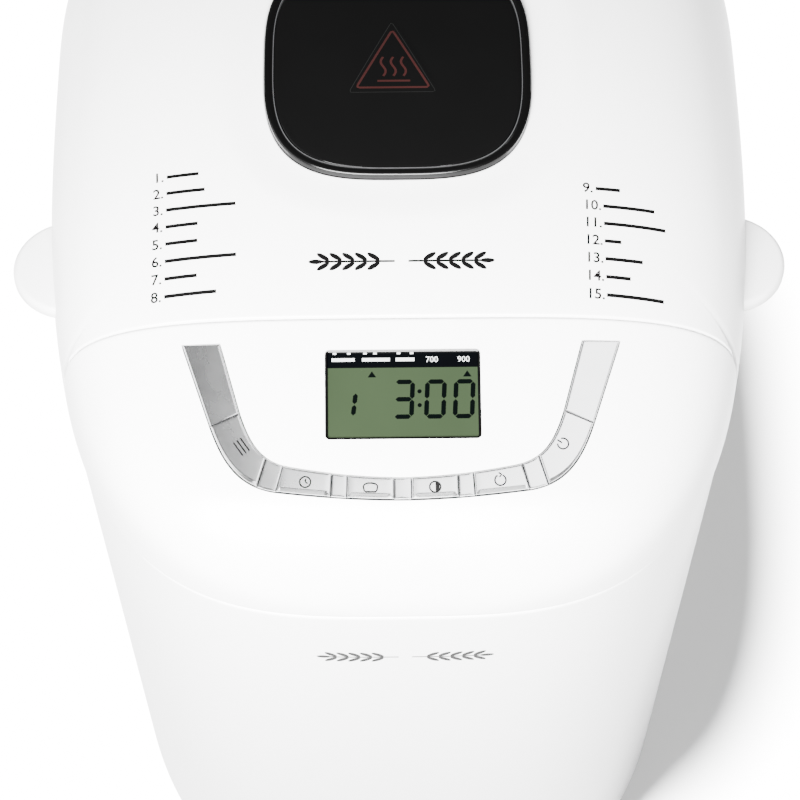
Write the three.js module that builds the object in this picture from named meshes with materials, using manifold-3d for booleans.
// Single-paddle bread machine with a domed lid, a window and a sloped control panel.
// Units are millimetres, +Z is up and the front faces -Y. The origin is on the standing
// surface, in the middle of the machine's box.
import * as THREE from 'three';
import { mergeVertices } from 'three/addons/utils/BufferGeometryUtils.js';
import Module from 'manifold-3d';

const wasm = await Module();
wasm.setup();

// ---- Driving dimensions ----
const HALF_WIDTH = 120;
const FRONT_Y = -168;
const REAR_Y = 158;
const WIDEST_Y = 42;
const FRONT_POWER = 3.28;
const REAR_POWER = 2.41;
const CROWN_POWER = 4;
const SEAM_Z = 224;
const BELT_Z = 241;
const LID_FRONT_Y = -87;
const NOSE_HEIGHT = 26.5;
const PANEL_SLOPE = 0.325;
const NOSE_RADIUS = 28;
const TAIL_LENGTH = 48;
const TAIL_POWER = 2.2;
const LID_RISE = 0.24;
const LID_CURVE = 0.00105;
const SIDE_TAPER = 0.055;
const FRONT_TAPER = 0.007;
const WALL = 2.5;
const GAP = 0.3;
const OUTLINE_STEPS = 48;

const FOOT_HEIGHT = 6.7;
const FOOT_RADIUS = 10;
const FEET = [[-60, -118], [60, -118], [-58, 108], [58, 108]];
const BODY_BOTTOM_Z = 6;
const BASE_Z = 7;
const BASE_THICKNESS = 3;
const CHASSIS_Z = 40;
const CHASSIS_THICKNESS = 2;

const DRIVE_Y = 25;
const MOTOR_Y = -118;
const PULLEY_Z = 19;
const PULLEY_WIDTH = 9;
const DRIVE_PULLEY_RADIUS = 40;
const MOTOR_PULLEY_RADIUS = 8;
const BELT_THICKNESS = 2;

const CHAMBER_HALF_X = 82;
const CHAMBER_HALF_Y = 97;
const CHAMBER_CORNER = 28;
const MOUTH_CORNER = 18;
const CHAMBER_Z = 50;
const SHEET = 1.2;
const DECK_Z = 237;

const PAN_HALF_X = 64;
const PAN_HALF_Y = 76;
const PAN_TAPER = 4;
const PAN_CORNER = 22;
const PAN_BOTTOM_Z = 72;
const PAN_TOP_Z = 190;
const BAIL_PIVOT_Z = 183;
const BAIL_REACH = 45;
const BAIL_REST_DEG = 27;
const BAIL_RADIUS = 2;
const BAIL_HALF_X = 73;

const HINGE_Y = 163.3;
const HINGE_Z = 245;
const KNUCKLE_RADIUS = 4.7;
const PIN_RADIUS = 2.2;

const WINDOW_HALF_X = 45;
const WINDOW_HALF_Y = 46.3;
const WINDOW_Y = 9.5;
const WINDOW_POWER = 3.2;
const WINDOW_STEPS = 32;
const WINDOW_RIM = 4;
const TAB_Y = -45.2;
const TAB_RADIUS = 19.2;
const TAB_REACH = 130.3;
const TAB_Z = 244.5;
const TAB_THICKNESS = 5.5;

const DISPLAY_HALF_X = 25;
const DISPLAY_TOP = -10.5;
const DISPLAY_BOTTOM = -40.5;
const BUTTON_PROUD = 1.2;
const TRIM_PROUD = 0.6;
const BUTTON_DEPTH = 3;
const BUTTON_TRAVEL = 1.3;
const STEM_RADIUS = 1.4;
const STEM_END = -8.3;
const TRIM_BASE = [-6.2, -4.7];
const BOARD_BACK = -14;
const BOARD_FRONT = -12.4;

const CHASSIS_LEGS = [[-70, -40], [70, -40], [-70, 90], [70, 90]];
const DRIVE_SHAFT_RADIUS = 5;
const MOTOR_SHAFT_RADIUS = 4;
const BEARING_RADIUS = 11;
const FLANGE_REACH = 2;
const FLANGE_THICKNESS = 1.2;
const MOTOR_RADIUS = 31;
const MOTOR_LOW = 46;
const MOTOR_HIGH = 108;
const COUPLING_RADIUS = 12;
const PEG_OFFSET = 9;
const PAN_SHAFT_RADIUS = 4;
const PADDLE_LOW = 74;
const ELEMENT_Z = 60;
const ELEMENT_RADIUS = 3.5;
const ELEMENT_ENTRY_X = 18;
const SENSOR_RADIUS = 3;
const SENSOR_X = 44;
const SENSOR_Z = 105;
const CLIP_X = 38.6;

// ---- Finishes ----
function finish(color, roughness, metalness) {
  return new THREE.MeshStandardMaterial({ color, roughness, metalness });
}
const WHITE = finish(0xf2f2f2, 0.35, 0);
const GREY_PLASTIC = finish(0x9a9c9e, 0.5, 0);
const BLACK_PLASTIC = finish(0x1b1b1d, 0.5, 0);
const SILVER = finish(0xb9bbbd, 0.35, 0.7);
const STEEL = finish(0xa9abad, 0.35, 0.9);
const COATING = finish(0x3a3b3d, 0.55, 0.2);
const DARK_GLASS = finish(0x0c0d0f, 0.08, 0);
const RUBBER = finish(0x2a2a2a, 0.85, 0);
const BOARD = finish(0x1f5a35, 0.6, 0);
const DISPLAY_GREEN = finish(0x8fa08a, 0.3, 0);
const COPPER = finish(0x9c5a34, 0.4, 0.8);

// ---- Solids ----
function solid(geometry) {
  const bare = geometry.clone();
  bare.deleteAttribute('normal');
  bare.deleteAttribute('uv');
  const merged = mergeVertices(bare, 1e-4);
  const vertProperties = new Float32Array(merged.attributes.position.array);
  const triVerts = new Uint32Array(merged.index.array);
  return new wasm.Manifold(new wasm.Mesh({ numProp: 3, vertProperties, triVerts }));
}

function geometryOf(manifold) {
  const mesh = manifold.getMesh();
  const geometry = new THREE.BufferGeometry();
  geometry.setAttribute('position', new THREE.BufferAttribute(mesh.vertProperties, 3));
  geometry.setIndex(new THREE.BufferAttribute(mesh.triVerts, 1));
  geometry.computeVertexNormals();
  return geometry;
}

function union(parts) {
  return parts.reduce((whole, part) => whole.add(part));
}

function cut(whole, tools) {
  return tools.reduce((rest, tool) => rest.subtract(tool), whole);
}

function box(low, high) {
  const size = high.map((value, axis) => value - low[axis]);
  const geometry = new THREE.BoxGeometry(...size);
  geometry.translate(low[0] + size[0] / 2, low[1] + size[1] / 2, low[2] + size[2] / 2);
  return solid(geometry);
}

function rodZ(radius, x, y, low, high, sides = 20) {
  const geometry = new THREE.CylinderGeometry(radius, radius, high - low, sides);
  geometry.rotateX(Math.PI / 2);
  geometry.translate(x, y, (low + high) / 2);
  return solid(geometry);
}

function rodX(radius, low, high, y, z, sides = 16) {
  const geometry = new THREE.CylinderGeometry(radius, radius, high - low, sides);
  geometry.rotateZ(Math.PI / 2);
  geometry.translate((low + high) / 2, y, z);
  return solid(geometry);
}

function rodY(radius, x, low, high, z, sides = 16) {
  const geometry = new THREE.CylinderGeometry(radius, radius, high - low, sides);
  geometry.translate(x, (low + high) / 2, z);
  return solid(geometry);
}

function tubeZ(outer, inner, x, y, low, high, sides = 24) {
  return rodZ(outer, x, y, low, high, sides).subtract(rodZ(inner, x, y, low - 1, high + 1, sides));
}

function prism(shape, low, high, curveSegments = 3) {
  const options = { depth: high - low, bevelEnabled: false, curveSegments };
  const geometry = new THREE.ExtrudeGeometry(shape, options);
  geometry.translate(0, 0, low);
  return solid(geometry);
}

// A closed solid through rings of points, each ring anticlockwise from above.
function loft(rings) {
  const count = rings[0].length;
  const positions = rings.flat(2);
  const index = [];
  for (let level = 0; level < rings.length - 1; level += 1) {
    for (let side = 0; side < count; side += 1) {
      const a = level * count + side;
      const b = level * count + ((side + 1) % count);
      index.push(a, b, b + count, a, b + count, a + count);
    }
  }
  for (const level of [0, rings.length - 1]) {
    const centre = positions.length / 3;
    for (let axis = 0; axis < 3; axis += 1) {
      positions.push(rings[level].reduce((sum, point) => sum + point[axis], 0) / count);
    }
    for (let side = 0; side < count; side += 1) {
      const a = level * count + side;
      const b = level * count + ((side + 1) % count);
      index.push(...(level === 0 ? [b, a, centre] : [a, b, centre]));
    }
  }
  const geometry = new THREE.BufferGeometry();
  geometry.setAttribute('position', new THREE.Float32BufferAttribute(positions, 3));
  geometry.setIndex(index);
  return solid(geometry);
}

// A rounded rectangle as a shape, centred on x = 0 and y = centreY.
function roundedRect(halfX, halfY, centreY, radius) {
  const shape = new THREE.Shape();
  const corners = [[1, -1], [1, 1], [-1, 1], [-1, -1]];
  corners.forEach(([sx, sy], turn) => {
    const start = ((turn - 1) * Math.PI) / 2;
    const x = sx * (halfX - radius);
    const y = centreY + sy * (halfY - radius);
    shape.absarc(x, y, radius, start, start + Math.PI / 2, false);
  });
  return shape;
}

// A round bar swept along a path.
function sweep(path, radius, steps, sides = 8) {
  const section = new THREE.Shape();
  section.absarc(0, 0, radius, 0, 2 * Math.PI, false);
  const options = { extrudePath: path, steps, bevelEnabled: false, curveSegments: sides / 2 };
  return solid(new THREE.ExtrudeGeometry(section, options));
}

// A path of straight runs with rounded corners.
function bentPath(points, radius) {
  const path = new THREE.CurvePath();
  const knots = points.map((point) => new THREE.Vector3(...point));
  let from = knots[0];
  for (let i = 1; i < knots.length - 1; i += 1) {
    const before = knots[i].clone().lerp(knots[i - 1], radius / knots[i].distanceTo(knots[i - 1]));
    const after = knots[i].clone().lerp(knots[i + 1], radius / knots[i].distanceTo(knots[i + 1]));
    path.add(new THREE.LineCurve3(from, before));
    path.add(new THREE.QuadraticBezierCurve3(before, knots[i], after));
    from = after;
  }
  path.add(new THREE.LineCurve3(from, knots[knots.length - 1]));
  return path;
}

// ---- Outer form ----
// The plan outline is two half superellipses that meet at the widest station.
function outline(inset, drop) {
  const a = HALF_WIDTH - inset - SIDE_TAPER * drop;
  const front = WIDEST_Y - FRONT_Y - inset - FRONT_TAPER * drop;
  const rear = REAR_Y - WIDEST_Y - inset - (FRONT_TAPER * drop) / 2;
  const points = [];
  for (let i = 0; i < OUTLINE_STEPS; i += 1) {
    const turn = (2 * Math.PI * i) / OUTLINE_STEPS;
    const c = Math.cos(turn);
    const s = Math.sin(turn);
    const power = 2 / (s < 0 ? FRONT_POWER : REAR_POWER);
    const x = a * Math.sign(c) * Math.abs(c) ** power;
    const y = WIDEST_Y + (s < 0 ? front : rear) * Math.sign(s) * Math.abs(s) ** power;
    points.push([x, y]);
  }
  return points;
}

function halfWidthAt(y) {
  const front = y < WIDEST_Y;
  const reach = front ? WIDEST_Y - FRONT_Y : REAR_Y - WIDEST_Y;
  const power = front ? FRONT_POWER : REAR_POWER;
  const share = Math.min(Math.abs(y - WIDEST_Y) / reach, 1);
  return HALF_WIDTH * (1 - share ** power) ** (1 / power);
}

// Height of the upper surface above the seam along the middle of the machine.
function crownHeight(y) {
  const panelTop = NOSE_HEIGHT + PANEL_SLOPE * (LID_FRONT_Y - FRONT_Y);
  const behind = y - LID_FRONT_Y;
  const onPanel = NOSE_HEIGHT + PANEL_SLOPE * (y - FRONT_Y);
  const onLid = panelTop + LID_RISE * behind - LID_CURVE * behind * behind;
  const nose = Math.min(Math.max((FRONT_Y + NOSE_RADIUS - y) / NOSE_RADIUS, 0), 1);
  const tail = Math.min(Math.max((y - REAR_Y + TAIL_LENGTH) / TAIL_LENGTH, 0), 1);
  const noseShare = Math.sqrt(1 - nose * nose);
  const tailShare = (1 - tail ** TAIL_POWER) ** (1 / TAIL_POWER);
  return (behind < 0 ? onPanel : onLid) * noseShare * tailShare;
}

function surfaceHeight(x, y) {
  const half = halfWidthAt(y);
  const share = half > 0 ? Math.min(Math.abs(x) / half, 1) : 1;
  return crownHeight(y) * (1 - share ** CROWN_POWER) ** (1 / CROWN_POWER);
}

// The whole upper form down to floorZ, set in by inset on every side.
function upperForm(inset, floorZ) {
  const shares = [1, 0.998, 0.99, 0.965, 0.92, 0.84, 0.7, 0.48, 0.2];
  const outer = outline(0, 0);
  const inner = outline(inset, 0);
  const rings = [inner.map(([x, y]) => [x, y, floorZ])];
  for (const share of shares) {
    rings.push(inner.map(([x, y], i) => {
      const height = surfaceHeight(share * outer[i][0], share * outer[i][1]);
      return [share * x, share * y, SEAM_Z + height - inset];
    }));
  }
  return loft(rings);
}

// ---- Control panel ----
// Panel coordinates: x across, v up the slope from the lid seam, n out of the panel.
const panelTilt = Math.atan(PANEL_SLOPE);
const panelFrame = new THREE.Matrix4()
  .makeTranslation(0, LID_FRONT_Y, SEAM_Z + NOSE_HEIGHT + PANEL_SLOPE * (LID_FRONT_Y - FRONT_Y))
  .multiply(new THREE.Matrix4().makeRotationX(panelTilt));

function toPanel(manifold) {
  return manifold.transform(panelFrame.elements);
}

// The band of keys is a shallow U: straight legs, round corners and a slightly bowed foot.
function bandEdge(half, grow) {
  const path = new THREE.Path();
  path.moveTo(half.leg[0], half.leg[1]);
  path.lineTo(half.bend[0], half.bend[1]);
  path.bezierCurveTo(...half.pull, ...half.foot);
  path.quadraticCurveTo(half.foot[0] * 0.45, half.middle, 0, half.middle);
  const points = path.getPoints(7);
  const right = points.map((point, i) => {
    const before = points[Math.max(i - 1, 0)];
    const after = points[Math.min(i + 1, points.length - 1)];
    const run = after.clone().sub(before).normalize();
    return new THREE.Vector2(point.x - run.y * grow, point.y + run.x * grow);
  });
  right[right.length - 1].x = 0;
  const left = right.slice(0, -1).reverse().map((point) => new THREE.Vector2(-point.x, point.y));
  return [...right, ...left];
}

const BAND_OUTER = {
  leg: [70.5, -8], bend: [61.3, -35.5], pull: [57.2, -47.5, 52, -55.6], foot: [40, -57.4], middle: -60.2,
};
const BAND_INNER = {
  leg: [58.4, -8], bend: [51.9, -31.5], pull: [48.5, -42, 45, -47.4], foot: [36, -49.4], middle: -53.2,
};

const keyFace = upperForm(-BUTTON_PROUD, SEAM_Z);
const trimFace = upperForm(-TRIM_PROUD, SEAM_Z);

function bandPrism(grow, low, high) {
  const outer = bandEdge(BAND_OUTER, grow);
  const inner = bandEdge(BAND_INNER, -grow).reverse();
  for (const point of [outer[0], outer[outer.length - 1], inner[0], inner[inner.length - 1]]) {
    point.y += grow;
  }
  return prism(new THREE.Shape([...inner, ...outer]), low, high);
}

// Places along the right half of the band where one piece ends and the next begins.
const BAND_SPLITS = [
  { outer: [61.3, -35.5], inner: [51.9, -31.5] },
  { outer: [46.2, -55.3], inner: [43, -46] },
  { outer: [40.4, -57.2], inner: [38, -48.8] },
  { outer: [22.8, -59.6], inner: [22.6, -52.4] },
  { outer: [17.8, -59.9], inner: [17.7, -52.8] },
  { outer: [2.8, -60.2], inner: [2.8, -53.2] },
];

const KEYS = [
  { name: 'button_menu', side: -1, from: 0, to: 1 },
  { name: 'button_time', side: -1, from: 2, to: 3 },
  { name: 'button_loaf', side: -1, from: 4, to: 5 },
  { name: 'button_color', side: 1, from: 4, to: 5 },
  { name: 'button_cycle', side: 1, from: 2, to: 3 },
  { name: 'button_power', side: 1, from: 0, to: 1 },
];

// A cell across the band between two splits, shrunk or grown along the band by margin.
function bandCell(key, margin, low, high) {
  const ends = [BAND_SPLITS[key.from], BAND_SPLITS[key.to]].map(({ outer, inner }, end) => {
    const o = new THREE.Vector2(...outer);
    const i = new THREE.Vector2(...inner);
    const across = o.clone().sub(i).normalize();
    const along = new THREE.Vector2(across.y, -across.x).multiplyScalar(end === 0 ? -margin : margin);
    return [o.addScaledVector(across, 4).add(along), i.addScaledVector(across, -4).add(along)];
  });
  const corners = [ends[0][0], ends[1][0], ends[1][1], ends[0][1]];
  return prism(new THREE.Shape(corners.map((p) => new THREE.Vector2(key.side * p.x, p.y))), low, high);
}

function keyCentre(key) {
  const points = [key.from, key.to].flatMap((split) => [BAND_SPLITS[split].outer, BAND_SPLITS[split].inner]);
  const mean = (axis) => points.reduce((sum, point) => sum + point[axis], 0) / points.length;
  return [key.side * mean(0), mean(1)];
}

function keyButton(key) {
  const cap = bandPrism(-GAP, -BUTTON_DEPTH, 5).intersect(bandCell(key, -0.2, -10, 10));
  const [x, v] = keyCentre(key);
  const stem = rodZ(STEM_RADIUS, x, v, STEM_END, -BUTTON_DEPTH + 1, 10);
  return toPanel(cap.add(stem)).intersect(keyFace);
}

function bandTrim() {
  const base = bandPrism(0, ...TRIM_BASE);
  const blocks = KEYS.map((key) => bandCell(key, 0.2, TRIM_BASE[1], 5));
  const raised = cut(bandPrism(0, -5, 5), blocks);
  const stems = KEYS.map((key) => rodZ(STEM_RADIUS + GAP, ...keyCentre(key), -7, 0, 10));
  return toPanel(cut(base.add(raised), stems)).intersect(trimFace);
}

function displayPrism(inset, low, high) {
  const halfY = (DISPLAY_TOP - DISPLAY_BOTTOM) / 2 - inset;
  const centreY = (DISPLAY_TOP + DISPLAY_BOTTOM) / 2;
  return prism(roundedRect(DISPLAY_HALF_X - inset, halfY, centreY, 1.5), low, high, 2);
}

function displayLens() {
  return toPanel(displayPrism(GAP, -1.8, -0.4));
}

function displayModule() {
  return toPanel(displayPrism(-2, -8, -WALL - 4 * GAP));
}

// The keyboard's circuit board, with one tact switch under each key's stem.
function controlBoard() {
  const board = box([-64, -61, BOARD_BACK], [64, -9, BOARD_FRONT]);
  const switches = KEYS.map((key) => {
    const [x, v] = keyCentre(key);
    return box([x - 3, v - 3, BOARD_FRONT - 0.2], [x + 3, v + 3, STEM_END - BUTTON_TRAVEL - GAP]);
  });
  return toPanel(union([board, ...switches]));
}

const upperSolid = upperForm(0, SEAM_Z);
const upperHollow = upperForm(WALL, SEAM_Z - 2 * WALL);
const liningForm = upperForm(WALL + GAP, SEAM_Z - 9);
const lidClearance = upperForm(-GAP, SEAM_Z - 9);

// ---- Model tree ----
const group = new THREE.Group();

function add(name, manifold, material) {
  const mesh = new THREE.Mesh(geometryOf(manifold), material);
  mesh.name = name;
  group.add(mesh);
}

// ---- Lower casing ----
function bodyShell() {
  const wallRing = (inset, z) => outline(inset, BELT_Z - z).map(([x, y]) => [x, y, z]);
  const top = SEAM_Z - GAP;
  const outer = loft([wallRing(5, BODY_BOTTOM_Z), wallRing(1.5, 8), wallRing(0, 13), wallRing(0, top)]);
  const inner = loft([wallRing(6.5, BODY_BOTTOM_Z - 1), wallRing(WALL + 1.5, 8), wallRing(WALL, 13),
    wallRing(WALL, top + 1)]);
  const slots = [];
  for (let column = -4; column <= 4; column += 1) {
    const x = column * 8;
    slots.push(box([x - 1.5, REAR_Y - 15, 150], [x + 1.5, REAR_Y + 5, 185]));
  }
  const inlet = rodY(7 + GAP, 0, REAR_Y - 15, REAR_Y + 5, 32);
  return cut(outer.subtract(inner), [...slots, inlet]);
}

function basePlate() {
  const ring = (z) => outline(WALL + 4.2, BELT_Z - z).map(([x, y]) => [x, y, z]);
  const plate = loft([ring(BASE_Z), ring(BASE_Z + BASE_THICKNESS)]);
  const slots = [];
  for (let row = 0; row < 6; row += 1) {
    const y = MOTOR_Y - 25 + row * 10;
    slots.push(box([-20, y - 2, BASE_Z - 1], [20, y + 2, BASE_Z + BASE_THICKNESS + 1]));
  }
  return cut(plate, slots);
}

function footing(x, y) {
  return rodZ(FOOT_RADIUS, x, y, 0, FOOT_HEIGHT, 16);
}

// Carries the motor, the bearing and the baking chamber on legs from the base plate.
function chassis() {
  const top = CHASSIS_Z + CHASSIS_THICKNESS;
  const legs = CHASSIS_LEGS.map(([x, y]) => (
    box([x - 6, y - 6, BASE_Z + BASE_THICKNESS + GAP], [x + 6, y + 6, top])));
  const plate = box([-80, -72, CHASSIS_Z], [80, 110, top]);
  const motorArm = box([-38, MOTOR_Y - 34, CHASSIS_Z], [38, -70, top]);
  const shaftHole = rodZ(8, 0, MOTOR_Y, CHASSIS_Z - 1, top + 1);
  const bearingHole = rodZ(BEARING_RADIUS + GAP, 0, DRIVE_Y, CHASSIS_Z - 1, top + 1);
  return cut(union([plate, motorArm, ...legs]), [shaftHole, bearingHole]);
}

// ---- Upper cover: control panel, side band and deck in one moulding ----
function lidSpace(clearance) {
  return box([-HALF_WIDTH - 5, LID_FRONT_Y - clearance, BELT_Z - GAP],
    [HALF_WIDTH + 5, REAR_Y + 5, BELT_Z + 80]);
}

// Each bracket is a foot on the cover's back with two knuckles, one on each side of the lid's ear.
function hingeBracket(side) {
  const foot = box([Math.min(side * 12, side * 42), REAR_Y + GAP, SEAM_Z + 6],
    [Math.max(side * 12, side * 42), HINGE_Y + 2, HINGE_Z - 8]);
  const knuckles = [[12, 19.7], [34.3, 42]].map(([near, far]) => {
    const [low, high] = [side * near, side * far].sort((a, b) => a - b);
    const stand = box([low, REAR_Y + 1, SEAM_Z + 8], [high, HINGE_Y + 2, HINGE_Z]);
    return stand.add(rodX(KNUCKLE_RADIUS, low, high, HINGE_Y, HINGE_Z));
  });
  return cut(union([foot, ...knuckles]), [rodX(PIN_RADIUS + GAP, -45, 45, HINGE_Y, HINGE_Z)]);
}

function panelCover() {
  const shell = cut(upperSolid, [upperHollow, lidSpace(0)]);
  const wallBox = box([-HALF_WIDTH, LID_FRONT_Y - WALL, DECK_Z], [HALF_WIDTH, LID_FRONT_Y, 300]);
  const backWall = upperSolid.intersect(wallBox);
  const opening = toPanel(bandPrism(0.35, -9, 5));
  const display = toPanel(displayPrism(0, -9, 5));
  return cut(shell.add(backWall), [opening, display]);
}

// The flat top inside the side band, open over the baking chamber.
function topDeck() {
  const layer = box([-HALF_WIDTH, LID_FRONT_Y + GAP, DECK_Z], [HALF_WIDTH, REAR_Y, BELT_Z - GAP]);
  const mouthShape = roundedRect(CHAMBER_HALF_X - 4, CHAMBER_HALF_Y - 4, DRIVE_Y, MOUTH_CORNER);
  return liningForm.intersect(layer).subtract(prism(mouthShape, DECK_Z - 1, BELT_Z + 1));
}

function hingePin(low, high) {
  return rodX(PIN_RADIUS, low, high, HINGE_Y, HINGE_Z);
}

function cordGland() {
  const rear = REAR_Y - (FRONT_TAPER * BELT_Z) / 2;
  const collar = rodY(7, 0, rear - 6, rear + 3, 32);
  return collar.subtract(rodY(3.6, 0, rear - 7, rear + 4, 32));
}

// ---- Lid ----
// The window's outline is a superellipse, set in by inset.
function windowPrism(inset, low, high) {
  const power = 2 / WINDOW_POWER;
  const points = [];
  for (let i = 0; i < WINDOW_STEPS; i += 1) {
    const turn = (2 * Math.PI * i) / WINDOW_STEPS;
    const [c, s] = [Math.cos(turn), Math.sin(turn)];
    points.push(new THREE.Vector2(
      (WINDOW_HALF_X - inset) * Math.sign(c) * Math.abs(c) ** power,
      WINDOW_Y + (WINDOW_HALF_Y - inset) * Math.sign(s) * Math.abs(s) ** power,
    ));
  }
  return prism(new THREE.Shape(points), low, high);
}

function lidEar(side) {
  const [low, high] = [side * 20, side * 34].sort((a, b) => a - b);
  const arm = box([low, REAR_Y - 6, HINGE_Z - 2], [high, HINGE_Y, HINGE_Z + 3]);
  const ear = arm.add(rodX(KNUCKLE_RADIUS, low, high, HINGE_Y, HINGE_Z));
  return cut(ear, [lidClearance, rodX(PIN_RADIUS + GAP, -45, 45, HINGE_Y, HINGE_Z)]);
}

function lidTab(side) {
  const disc = rodZ(TAB_RADIUS, side * (TAB_REACH - TAB_RADIUS), TAB_Y, TAB_Z, TAB_Z + TAB_THICKNESS, 36);
  return disc.subtract(lidClearance);
}

function lidShell() {
  const shell = upperSolid.subtract(upperHollow).intersect(
    box([-HALF_WIDTH - 5, LID_FRONT_Y + GAP, BELT_Z + GAP], [HALF_WIDTH + 5, REAR_Y + 5, 300]));
  const frontBox = box([-HALF_WIDTH, LID_FRONT_Y + GAP, BELT_Z + GAP],
    [HALF_WIDTH, LID_FRONT_Y + GAP + WALL, 300]);
  const frontWall = upperSolid.intersect(frontBox);
  return shell.add(frontWall).subtract(windowPrism(0, 255, 300));
}

const windowTop = upperForm(0.9, SEAM_Z);
const windowUnder = upperForm(4.4, SEAM_Z - 9);

function windowBezel() {
  const layer = upperSolid.subtract(windowUnder);
  return layer.intersect(windowPrism(GAP, 255, 300)).subtract(windowPrism(WINDOW_RIM, 250, 305));
}

function windowGlass() {
  return windowTop.subtract(windowUnder).intersect(windowPrism(WINDOW_RIM + GAP, 255, 300));
}

function lidLiner() {
  const layer = box([-HALF_WIDTH, LID_FRONT_Y + 2 * GAP + WALL, BELT_Z + 1.5],
    [HALF_WIDTH, REAR_Y - 14, BELT_Z + 3]);
  return liningForm.intersect(layer).subtract(windowPrism(WINDOW_RIM, BELT_Z, BELT_Z + 6));
}

function innerWindow() {
  return windowPrism(WINDOW_RIM - 3, BELT_Z + 3 + GAP, BELT_Z + 6 + GAP);
}

// ---- Drive ----
function driveBelt() {
  const low = PULLEY_Z + 1.5;
  const high = PULLEY_Z + PULLEY_WIDTH - 1.5;
  const loop = (grow) => {
    const big = DRIVE_PULLEY_RADIUS + GAP + grow;
    const small = MOTOR_PULLEY_RADIUS + GAP + grow;
    const lean = Math.asin((big - small) / (DRIVE_Y - MOTOR_Y));
    const shape = new THREE.Shape();
    shape.absarc(0, DRIVE_Y, big, -lean, Math.PI + lean, false);
    shape.absarc(0, MOTOR_Y, small, Math.PI + lean, 2 * Math.PI - lean, false);
    return shape;
  };
  return prism(loop(BELT_THICKNESS), low, high, 10).subtract(prism(loop(0), low - 1, high + 1, 10));
}

function pulley(radius, bore, y) {
  const high = PULLEY_Z + PULLEY_WIDTH;
  const rim = union([
    rodZ(radius - GAP, 0, y, PULLEY_Z, high, 28),
    rodZ(radius + FLANGE_REACH, 0, y, PULLEY_Z, PULLEY_Z + FLANGE_THICKNESS, 28),
    rodZ(radius + FLANGE_REACH, 0, y, high - FLANGE_THICKNESS, high, 28),
  ]);
  return rim.subtract(rodZ(bore, 0, y, PULLEY_Z - 1, high + 1, 16));
}

function motorBody() {
  const can = rodZ(MOTOR_RADIUS, 0, MOTOR_Y, MOTOR_LOW, MOTOR_HIGH, 32)
    .add(rodZ(13, 0, MOTOR_Y, MOTOR_HIGH - 1, MOTOR_HIGH + 6, 24));
  return can.subtract(rodZ(MOTOR_SHAFT_RADIUS + 1, 0, MOTOR_Y, MOTOR_LOW - 1, MOTOR_HIGH + 7, 16));
}

function motorBracket() {
  const plate = box([-36, MOTOR_Y - 33, CHASSIS_Z + 2.3], [36, MOTOR_Y + 33, MOTOR_LOW - GAP]);
  return plate.subtract(rodZ(9, 0, MOTOR_Y, CHASSIS_Z + 2, MOTOR_LOW, 20));
}

function bearingHousing() {
  const collar = tubeZ(16, DRIVE_SHAFT_RADIUS + 0.4, 0, DRIVE_Y, 42.3, 46);
  return collar.add(tubeZ(BEARING_RADIUS, DRIVE_SHAFT_RADIUS + 0.4, 0, DRIVE_Y, 33, 57));
}

// Two pegs stand up from the disc, and drive the two that hang from the pan's disc.
function driveCoupling() {
  const disc = rodZ(COUPLING_RADIUS, 0, DRIVE_Y, 57.4, 60, 24)
    .subtract(rodZ(DRIVE_SHAFT_RADIUS + GAP, 0, DRIVE_Y, 57, 61, 16));
  const pegs = [-1, 1].map((side) => side * PEG_OFFSET)
    .map((x) => box([x - 2, DRIVE_Y - 3, 59.5], [x + 2, DRIVE_Y + 3, 64.4]));
  return union([disc, ...pegs]);
}

function panShaft() {
  const disc = rodZ(COUPLING_RADIUS, 0, DRIVE_Y, 64.8, 67, 24);
  const pegs = [-1, 1].map((side) => DRIVE_Y + side * PEG_OFFSET)
    .map((y) => box([-3, y - 2, 60.4], [3, y + 2, 65]));
  return union([disc, ...pegs, rodZ(PAN_SHAFT_RADIUS, 0, DRIVE_Y, 66, 98, 16)]);
}

function kneadingPaddle() {
  const hub = rodZ(9, 0, DRIVE_Y, PADDLE_LOW, PADDLE_LOW + 18, 24);
  const blade = new THREE.Shape();
  blade.moveTo(0, PADDLE_LOW);
  blade.lineTo(44, PADDLE_LOW);
  blade.lineTo(44, PADDLE_LOW + 10);
  blade.quadraticCurveTo(38, PADDLE_LOW + 30, 22, PADDLE_LOW + 30);
  blade.quadraticCurveTo(10, PADDLE_LOW + 28, 0, PADDLE_LOW + 16);
  const geometry = new THREE.ExtrudeGeometry(blade, { depth: 4, bevelEnabled: false, curveSegments: 5 });
  geometry.rotateX(Math.PI / 2);
  geometry.translate(0, DRIVE_Y + 2, 0);
  return cut(hub.add(solid(geometry)), [rodZ(PAN_SHAFT_RADIUS + GAP, 0, DRIVE_Y, PADDLE_LOW - 1, PADDLE_LOW + 25, 16)]);
}

// ---- Baking chamber and pan ----
function bakingChamber() {
  const top = DECK_Z - GAP;
  const wall = (inset) => roundedRect(CHAMBER_HALF_X - inset, CHAMBER_HALF_Y - inset, DRIVE_Y,
    CHAMBER_CORNER - inset);
  const can = prism(wall(0), CHAMBER_Z, top, 4).subtract(prism(wall(SHEET), CHAMBER_Z + SHEET, top + 1, 4));
  const front = DRIVE_Y - CHAMBER_HALF_Y;
  const holes = [rodZ(BEARING_RADIUS + GAP, 0, DRIVE_Y, CHAMBER_Z - 1, CHAMBER_Z + 3, 24),
    ...[-1, 1].map((side) => (
      rodY(ELEMENT_RADIUS + GAP, side * ELEMENT_ENTRY_X, front - 3, front + 3, ELEMENT_Z))),
    rodY(SENSOR_RADIUS + GAP, SENSOR_X, front - 3, front + 3, SENSOR_Z)];
  return cut(can, holes);
}

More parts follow.
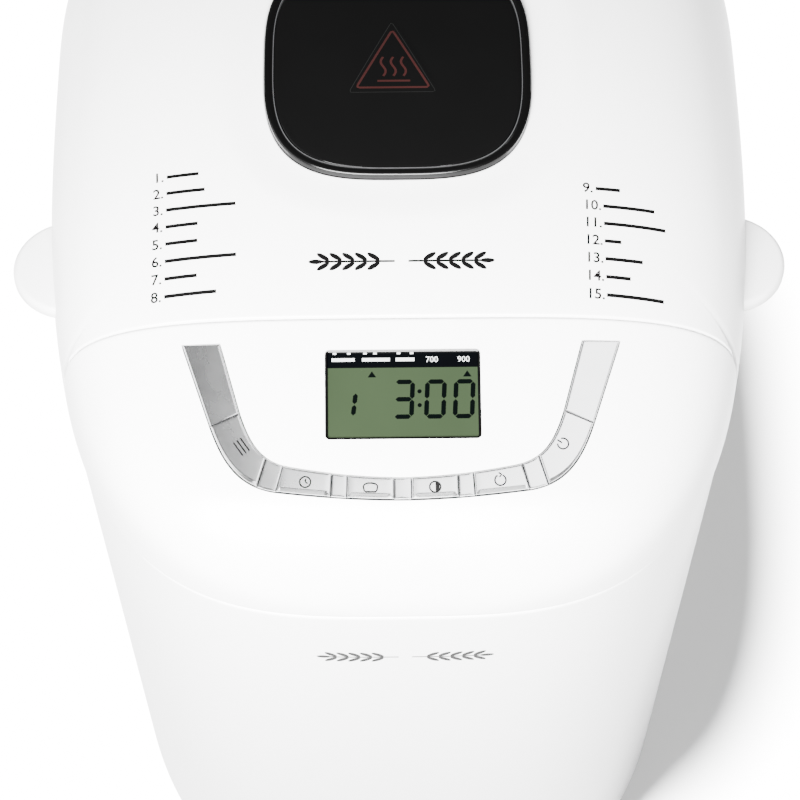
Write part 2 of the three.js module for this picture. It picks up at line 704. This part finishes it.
function heatingElement() {
  const front = DRIVE_Y - CHAMBER_HALF_Y;
  const [x, low, high] = [72, front + 13, DRIVE_Y + CHAMBER_HALF_Y - 10];
  const half = [[ELEMENT_ENTRY_X, front - 10], [ELEMENT_ENTRY_X, low], [x, low], [x, high]];
  const points = [...half.map(([px, py]) => [-px, py, ELEMENT_Z]),
    ...half.reverse().map(([px, py]) => [px, py, ELEMENT_Z])];
  return sweep(bentPath(points, 9), ELEMENT_RADIUS, 40, 8);
}

function panRing(inset, z, drop) {
  const shrink = inset + (PAN_TAPER * drop) / (PAN_TOP_Z - PAN_BOTTOM_Z);
  const shape = roundedRect(PAN_HALF_X - shrink, PAN_HALF_Y - shrink, DRIVE_Y, PAN_CORNER - inset);
  return shape.getPoints(5).slice(0, -1).map((point) => [point.x, point.y, z]);
}

function breadPan() {
  const height = PAN_TOP_Z - PAN_BOTTOM_Z;
  const outer = loft([panRing(2, PAN_BOTTOM_Z, height), panRing(0, PAN_BOTTOM_Z + 3, height - 3),
    panRing(0, PAN_TOP_Z, 0)]);
  const inner = loft([panRing(3.2, PAN_BOTTOM_Z + SHEET, height), panRing(SHEET, PAN_BOTTOM_Z + 4, height - 3),
    panRing(SHEET, PAN_TOP_Z + 1, 0)]);
  const lip = loft([panRing(-2.2, PAN_TOP_Z - 2.5, 0), panRing(-2.2, PAN_TOP_Z, 0)]);
  const ears = [-1, 1].map((side) => {
    const reach = [side * (PAN_HALF_X - 2), side * (PAN_HALF_X + 3)].sort((a, b) => a - b);
    return box([reach[0], DRIVE_Y - 7, BAIL_PIVOT_Z - 7], [reach[1], DRIVE_Y + 7, PAN_TOP_Z - 1]);
  });
  const pivots = [-1, 1].map((side) => {
    const reach = [side * (PAN_HALF_X + 0.5), side * (PAN_HALF_X + 5)].sort((a, b) => a - b);
    return rodX(BAIL_RADIUS + GAP, reach[0], reach[1], DRIVE_Y, BAIL_PIVOT_Z, 12);
  });
  const shaftHole = rodZ(PAN_SHAFT_RADIUS + GAP, 0, DRIVE_Y, PAN_BOTTOM_Z - 1, PAN_BOTTOM_Z + 3, 16);
  return cut(union([outer, lip, ...ears]), [inner, ...pivots, shaftHole]);
}

function bailPoints() {
  const turn = THREE.MathUtils.degToRad(BAIL_REST_DEG);
  const barY = DRIVE_Y + BAIL_REACH * Math.cos(turn);
  const barZ = BAIL_PIVOT_Z + BAIL_REACH * Math.sin(turn);
  const inner = PAN_HALF_X + 1;
  return [[-inner, DRIVE_Y, BAIL_PIVOT_Z], [-BAIL_HALF_X, DRIVE_Y, BAIL_PIVOT_Z], [-BAIL_HALF_X, barY, barZ],
    [BAIL_HALF_X, barY, barZ], [BAIL_HALF_X, DRIVE_Y, BAIL_PIVOT_Z], [inner, DRIVE_Y, BAIL_PIVOT_Z]];
}

function panClip(side) {
  const reach = [side * CLIP_X, side * (CLIP_X + 1.8)].sort((a, b) => a - b);
  const toe = [side * CLIP_X, side * 50].sort((a, b) => a - b);
  const floor = CHAMBER_Z + SHEET + GAP;
  return box([reach[0], DRIVE_Y - 8, floor], [reach[1], DRIVE_Y + 8, floor + 11])
    .add(box([toe[0], DRIVE_Y - 8, floor], [toe[1], DRIVE_Y + 8, floor + 1.2]));
}

// ---- Assembly ----
add('body_shell', bodyShell(), WHITE);
add('base_plate', basePlate(), WHITE);
FEET.forEach(([x, y], i) => add(`foot_${i + 1}`, footing(x, y), RUBBER));
add('chassis', chassis(), STEEL);
add('control_panel_cover', panelCover(), WHITE);
add('top_deck', topDeck(), WHITE);
add('hinge_bracket_left', hingeBracket(-1), GREY_PLASTIC);
add('hinge_bracket_right', hingeBracket(1), GREY_PLASTIC);
add('cord_gland', cordGland(), GREY_PLASTIC);
add('hinge_pin_left', hingePin(-42, -12), STEEL);
add('hinge_pin_right', hingePin(12, 42), STEEL);
add('lid_shell', lidShell(), WHITE);
add('finger_tab_left', lidTab(-1), WHITE);
add('finger_tab_right', lidTab(1), WHITE);
add('lid_ear_left', lidEar(-1), GREY_PLASTIC);
add('lid_ear_right', lidEar(1), GREY_PLASTIC);
add('window_bezel', windowBezel(), BLACK_PLASTIC);
add('window_glass', windowGlass(), DARK_GLASS);
add('lid_liner', lidLiner(), STEEL);
add('inner_window', innerWindow(), DARK_GLASS);
add('band_trim', bandTrim(), SILVER);
KEYS.forEach((key) => add(key.name, keyButton(key), SILVER));
add('display_lens', displayLens(), DISPLAY_GREEN);
add('display_module', displayModule(), BLACK_PLASTIC);
add('control_board', controlBoard(), BOARD);
add('power_board', box([-78, MOTOR_Y - 8, 60], [-75.6, MOTOR_Y + 38, 130]), BOARD);
add('power_relay', box([-75.3, MOTOR_Y - 4, 96], [-59, MOTOR_Y + 16, 124]), BLACK_PLASTIC);
add('transformer', box([-75.3, MOTOR_Y - 6, 66], [-48, MOTOR_Y + 26, 92]), COPPER);
add('motor_capacitor', box([50, MOTOR_Y - 12, 60], [72, MOTOR_Y + 24, 90]), GREY_PLASTIC);
add('motor_body', motorBody(), STEEL);
add('motor_bracket', motorBracket(), STEEL);
add('motor_shaft', rodZ(MOTOR_SHAFT_RADIUS, 0, MOTOR_Y, PULLEY_Z - 4, 118, 16), STEEL);
add('motor_pulley', pulley(MOTOR_PULLEY_RADIUS, MOTOR_SHAFT_RADIUS + GAP, MOTOR_Y), STEEL);
add('drive_belt', driveBelt(), RUBBER);
add('drive_pulley', pulley(DRIVE_PULLEY_RADIUS, DRIVE_SHAFT_RADIUS + GAP, DRIVE_Y), BLACK_PLASTIC);
add('drive_shaft', rodZ(DRIVE_SHAFT_RADIUS, 0, DRIVE_Y, PULLEY_Z - 4, 62, 16), STEEL);
add('bearing_housing', bearingHousing(), STEEL);
add('drive_coupling', driveCoupling(), STEEL);
add('baking_chamber', bakingChamber(), STEEL);
add('heating_element', heatingElement(), STEEL);
add('temperature_sensor', rodY(SENSOR_RADIUS, SENSOR_X, -86, -62, SENSOR_Z, 12), STEEL);
add('thermal_fuse', box([-50, -77, 100], [-34, -72.4, 110]), GREY_PLASTIC);
add('pan_clip_left', panClip(-1), STEEL);
add('pan_clip_right', panClip(1), STEEL);
add('bread_pan', breadPan(), COATING);
add('pan_base_ring', tubeZ(38, 34, 0, DRIVE_Y, 51.9, PAN_BOTTOM_Z - GAP, 32), STEEL);
add('pan_bushing', tubeZ(COUPLING_RADIUS, PAN_SHAFT_RADIUS + GAP, 0, DRIVE_Y, 67.3, PAN_BOTTOM_Z - GAP, 20), STEEL);
add('pan_shaft', panShaft(), STEEL);
add('kneading_paddle', kneadingPaddle(), COATING);
add('pan_handle', sweep(bentPath(bailPoints(), 4), BAIL_RADIUS, 40, 8), STEEL);

export default group;
